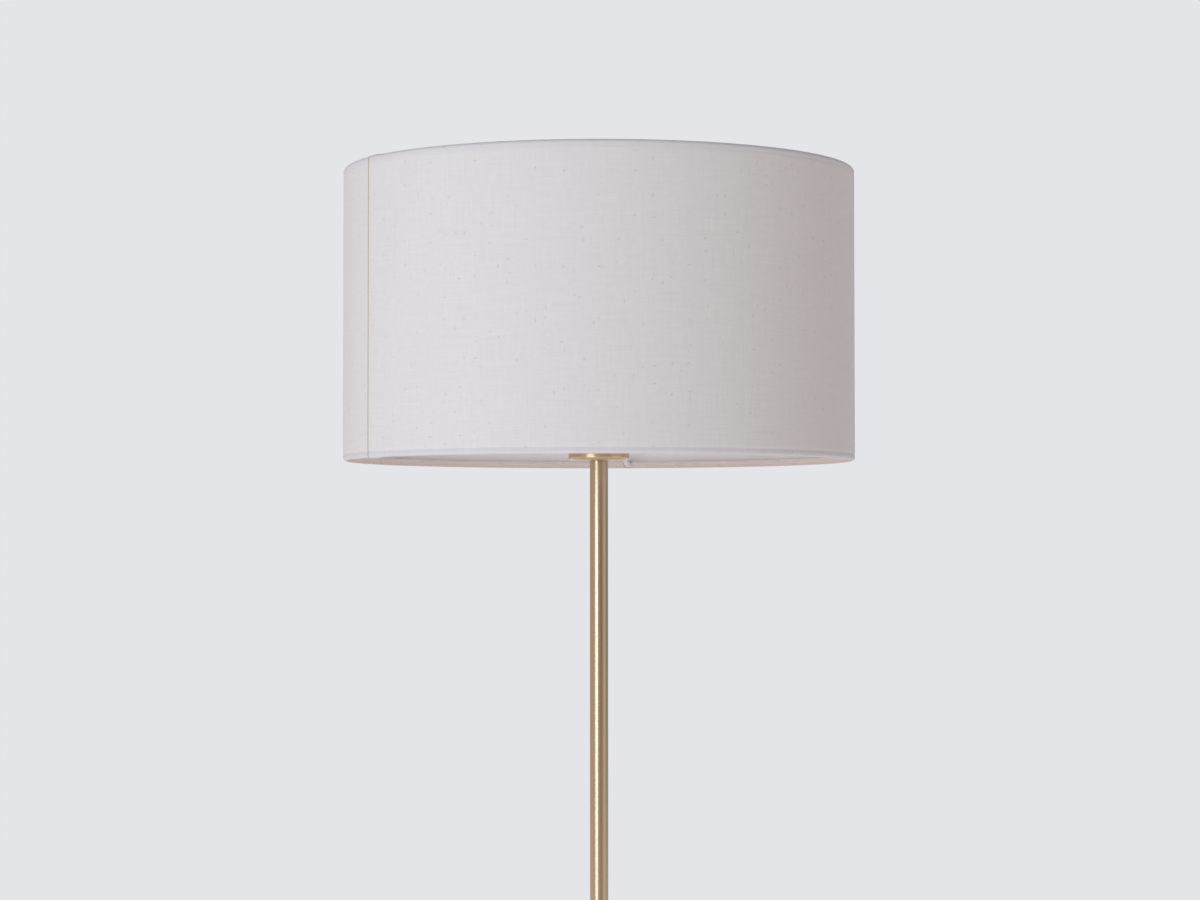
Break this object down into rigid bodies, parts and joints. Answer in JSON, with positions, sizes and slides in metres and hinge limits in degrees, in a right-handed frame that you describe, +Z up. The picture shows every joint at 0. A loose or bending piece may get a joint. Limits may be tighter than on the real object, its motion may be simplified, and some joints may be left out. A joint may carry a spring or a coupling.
{
  "type": "floor lamp",
  "caption": "Column floor lamp: round weighted base, slim brushed brass column and an off-white cloth drum shade. The shade turns, and its ring and the bulb unscrew.",
  "frame": {"origin": "centre of the base on the floor", "axes": "+Z up the column, -Y to the front, where the picture is taken from, +X to its right"},
  "size_m": [0.45, 0.45, 1.5505],
  "materials": {
    "felt": "pressed felt",
    "cast_iron": "as cast, black primer",
    "brushed_brass": "brushed and lacquered",
    "zinc_plate": "zinc plated",
    "rubber": "moulded",
    "turned_brass": "turned",
    "white_nylon": "moulded",
    "sheath_pvc": "extruded",
    "brown_pvc": "extruded",
    "blue_pvc": "extruded",
    "white_thermoset": "moulded",
    "porcelain": "fired",
    "tip_solder": "soldered",
    "black_glass": "fused",
    "cap_aluminium": "rolled",
    "clear_glass": "blown",
    "phosphor": "cast silicone",
    "circuit_board": "solder mask",
    "shade_linen": "woven, natural with small flecks",
    "white_liner": "calendered sheet",
    "white_powder_coat": "powder coated"
  },
  "bodies": {
    "stand": {"felt_pad": "felt", "base_weight": "cast_iron", "base_cover": "brushed_brass", "recess_plate": "zinc_plate", "recess_plate_screws": "zinc_plate", "cord_grommet": "rubber", "base_nipple": "turned_brass", "base_washer": "zinc_plate", "base_nut": "zinc_plate", "terminal_block": "white_nylon", "terminal_sleeves": "turned_brass", "terminal_screws": "zinc_plate", "block_screw": "zinc_plate", "lower_tube": "brushed_brass", "middle_tube": "brushed_brass", "upper_tube": "brushed_brass", "lower_foot_bush": "turned_brass", "lower_top_bush": "turned_brass", "middle_foot_bush": "turned_brass", "middle_top_bush": "turned_brass", "upper_foot_bush": "turned_brass", "upper_top_bush": "turned_brass", "lower_joiner": "turned_brass", "upper_joiner": "turned_brass", "flex_sheath": "sheath_pvc", "live_core": "brown_pvc", "neutral_core": "blue_pvc", "holder_cup": "brushed_brass", "cup_nipple": "turned_brass", "cup_nut": "zinc_plate", "holder_cap": "white_thermoset", "holder_grub_screw": "zinc_plate", "holder_insert": "porcelain", "holder_terminals": "turned_brass", "holder_terminal_screws": "zinc_plate", "centre_contact": "turned_brass", "screw_shell": "turned_brass", "holder_skirt": "white_thermoset"},
    "shade": {"shade_cloth": "shade_linen", "shade_liner": "white_liner", "shade_seam_lap": "shade_linen", "top_edge_roll": "shade_linen", "bottom_edge_roll": "shade_linen", "top_hoop": "white_powder_coat", "bottom_hoop": "white_powder_coat", "spider_plate": "white_powder_coat", "spider_arm_rear": "white_powder_coat", "spider_arm_left": "white_powder_coat", "spider_arm_right": "white_powder_coat"},
    "shade_ring": {"shade_ring": "white_thermoset"},
    "bulb_lift": {"bulb_tip": "tip_solder"},
    "bulb": {"bulb_insulator": "black_glass", "bulb_cap": "cap_aluminium", "bulb_globe": "clear_glass", "bulb_stem": "clear_glass", "bulb_filaments": "phosphor", "bulb_wires": "zinc_plate", "bulb_driver": "circuit_board"}
  },
  "joints": [
    {"name": "shade_turn", "type": "hinge", "parent": "stand", "child": "shade", "pos_m": [0, 0, 1.327], "axis": [0, 0, 1], "continuous": true},
    {"name": "ring_unscrew", "type": "slide", "parent": "stand", "child": "shade_ring", "axis": [0, 0, 1], "range_m": [0, 0.0198]},
    {"name": "bulb_rise", "type": "slide", "parent": "stand", "child": "bulb_lift", "axis": [0, 0, 1], "range_m": [0, 0.01452]},
    {"name": "bulb_turn", "type": "hinge", "parent": "bulb_lift", "child": "bulb", "pos_m": [0, 0, 1.3332], "axis": [0, 0, 1], "range_deg": [0, 1440]}
  ],
  "couplings": [
    {"joint": "bulb_turn", "follows": "bulb_rise", "rad_per_m": 1731.4}
  ]
}
